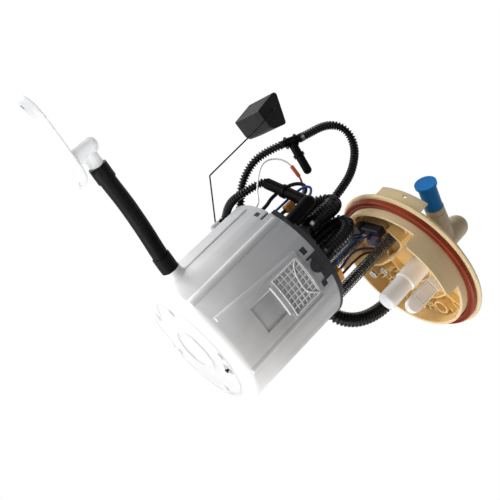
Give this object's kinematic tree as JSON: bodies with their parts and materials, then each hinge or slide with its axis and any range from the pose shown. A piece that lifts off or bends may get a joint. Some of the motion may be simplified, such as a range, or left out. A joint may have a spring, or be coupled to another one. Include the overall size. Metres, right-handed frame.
{
  "type": "fuel pump module",
  "caption": "Tank flange with a hanging reservoir on sprung guide rods, pump and filter inside, corrugated hoses, a remote strainer on a hose and a float arm level sender.",
  "frame": {"origin": "centre of the flange's seal face, which sits on the tank opening", "axes": "+Z out of the tank along the flange axis, +X towards the side away from the strainer, -Y the side seen in the picture"},
  "size_m": [0.378, 0.2437, 0.2677],
  "materials": {
    "beige_plastic": "moulded glass-filled plastic",
    "white_plastic": "moulded acetal",
    "translucent_white": "milky translucent moulding",
    "dark_grey_plastic": "moulded",
    "black_plastic": "moulded",
    "black_corrugated": "corrugated polyamide hose",
    "black_rubber": "smooth fuel hose",
    "red_brown_rubber": "moulded seal",
    "blue_plastic": "moulded cap",
    "purple_plastic": "moulded connector",
    "orange_plastic": "moulded terminal",
    "red_sleeve": "insulating sleeve",
    "steel": "drawn steel",
    "black_spring": "phosphated spring wire",
    "brass": "turned",
    "wire_mixed": "insulated leads",
    "mesh_grey": "woven nylon mesh",
    "ferrite": "ferrite arc magnets",
    "paper": "pleated filter paper",
    "ceramic": "printed resistor card",
    "foam_black": "closed-cell nitrile foam"
  },
  "bodies": {
    "flange": {"flange_plate": "beige_plastic", "flange_skirt": "beige_plastic", "flange_seal": "red_brown_rubber", "vent_housing": "beige_plastic", "vent_valve_body": "white_plastic", "vent_float_spring": "steel", "vent_side_chamber": "white_plastic", "guide_rods": "steel", "rod_clips": "steel", "guide_springs": "black_spring", "harness_plug": "dark_grey_plastic", "signal_plug": "purple_plastic", "socket_pins": "brass", "ground_screw": "steel"},
    "reservoir": {"reservoir_bucket": "translucent_white", "side_filter_grid": "white_plastic", "side_filter_mesh": "mesh_grey", "reservoir_lid": "dark_grey_plastic", "lid_tower": "black_plastic", "crossover_arm": "black_plastic", "thick_hose_left": "black_corrugated", "thick_hose_right": "black_corrugated", "thin_hose_lower": "black_corrugated", "thin_hose_upper": "black_corrugated", "tee_fitting": "black_plastic", "drain_hose": "black_corrugated", "hose_clamps": "steel", "lower_hose": "black_corrugated", "lid_wires": "wire_mixed", "butt_splice": "red_sleeve", "terminal_blocks": "orange_plastic", "crossing_wires": "wire_mixed", "pump_can": "steel", "pump_inlet_cover": "black_plastic", "pump_mid_plate": "black_plastic", "pump_bushings": "brass", "pump_magnets": "ferrite", "pump_brushes": "ferrite", "pump_end_cap": "black_plastic", "pump_inlet_strainer": "mesh_grey", "pump_isolator": "black_rubber", "filter_canister": "dark_grey_plastic", "filter_element": "paper", "pressure_regulator": "steel", "jet_pump": "white_plastic", "link_hose": "black_rubber", "strainer_housing": "white_plastic", "strainer_mesh": "mesh_grey", "sender_housing": "white_plastic", "sender_card": "ceramic"},
    "transit_cap": {"transit_cap": "blue_plastic"},
    "vent_float": {"vent_float": "white_plastic"},
    "rotor": {"pump_impeller": "black_plastic", "pump_armature": "ferrite", "pump_shaft": "steel"},
    "inlet_valve": {"inlet_check_valve": "black_rubber"},
    "float_arm": {"float_wire": "steel", "sender_hub": "white_plastic", "sender_wiper": "brass", "float": "foam_black"}
  },
  "joints": [
    {"name": "reservoir_slide", "type": "slide", "parent": "flange", "child": "reservoir", "axis": [0, 0, 1], "range_m": [0, 0.02], "stiffness_N_per_m": 400, "springref_m": -0.03, "deforming": ["guide_springs", "lower_hose", "crossing_wires"]},
    {"name": "float_lift", "type": "hinge", "parent": "reservoir", "child": "float_arm", "pos_m": [-0.1145, 0.07, -0.11], "axis": [0, -1, 0], "range_deg": [0, 88]},
    {"name": "pump_spin", "type": "hinge", "parent": "reservoir", "child": "rotor", "pos_m": [-0.0815, -0.008, -0.15], "axis": [0, 0, 1], "continuous": true},
    {"name": "inlet_valve_lift", "type": "slide", "parent": "reservoir", "child": "inlet_valve", "axis": [0, 0, 1], "range_m": [0, 0.0015]},
    {"name": "vent_float_lift", "type": "slide", "parent": "flange", "child": "vent_float", "axis": [0, 0, 1], "range_m": [0, 0.003], "deforming": ["vent_float_spring"]},
    {"name": "cap_pull", "type": "slide", "parent": "flange", "child": "transit_cap", "axis": [-0.7961, -0.6051, 0], "range_m": [0, 0.025]}
  ]
}
